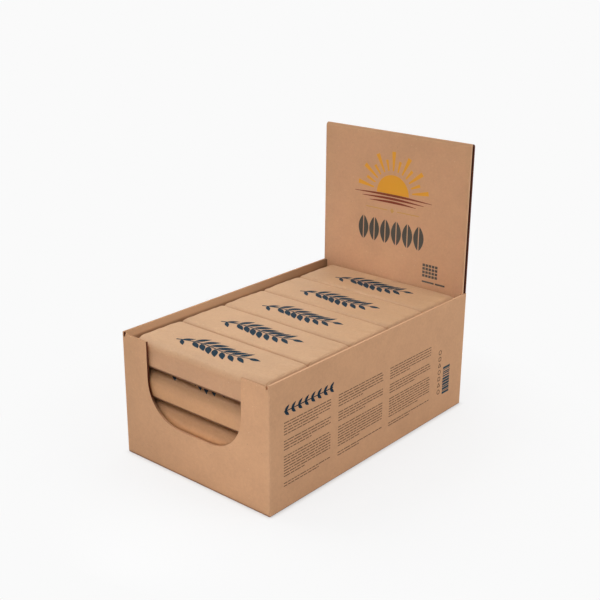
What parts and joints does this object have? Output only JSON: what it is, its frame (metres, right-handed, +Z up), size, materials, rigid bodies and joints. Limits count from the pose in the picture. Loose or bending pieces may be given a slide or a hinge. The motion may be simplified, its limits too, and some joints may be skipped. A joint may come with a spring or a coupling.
{
  "type": "counter display box",
  "caption": "Open kraft carton with a U-shaped front cut-out and a fold-over header panel, filled with stacked paper-wrapped bars; stands on a shop counter and is emptied by hand.",
  "frame": {"origin": "centre of the underside", "axes": "+Z up, the front wall with the cut-out faces -Y, the header stands at +Y, bars lie along X"},
  "size_m": [0.13, 0.2142, 0.1975],
  "materials": {
    "kraft_board": "uncoated brown kraft board, matt, with fine fibres and lighter cut edges",
    "wrapper_paper": "uncoated brown kraft paper wrapper, matt, lightly creased"
  },
  "bodies": {
    "root": {"carton": "kraft_board", "bar_1_1": "wrapper_paper", "bar_1_2": "wrapper_paper", "bar_1_3": "wrapper_paper", "bar_1_4": "wrapper_paper", "bar_1_5": "wrapper_paper", "bar_2_1": "wrapper_paper", "bar_2_2": "wrapper_paper", "bar_2_3": "wrapper_paper", "bar_2_4": "wrapper_paper", "bar_2_5": "wrapper_paper", "bar_3_1": "wrapper_paper", "bar_3_2": "wrapper_paper", "bar_3_3": "wrapper_paper", "bar_3_4": "wrapper_paper", "bar_3_5": "wrapper_paper", "bar_4_1": "wrapper_paper", "bar_4_2": "wrapper_paper", "bar_4_3": "wrapper_paper", "bar_4_4": "wrapper_paper", "bar_4_5": "wrapper_paper"}
  },
  "joints": []
}
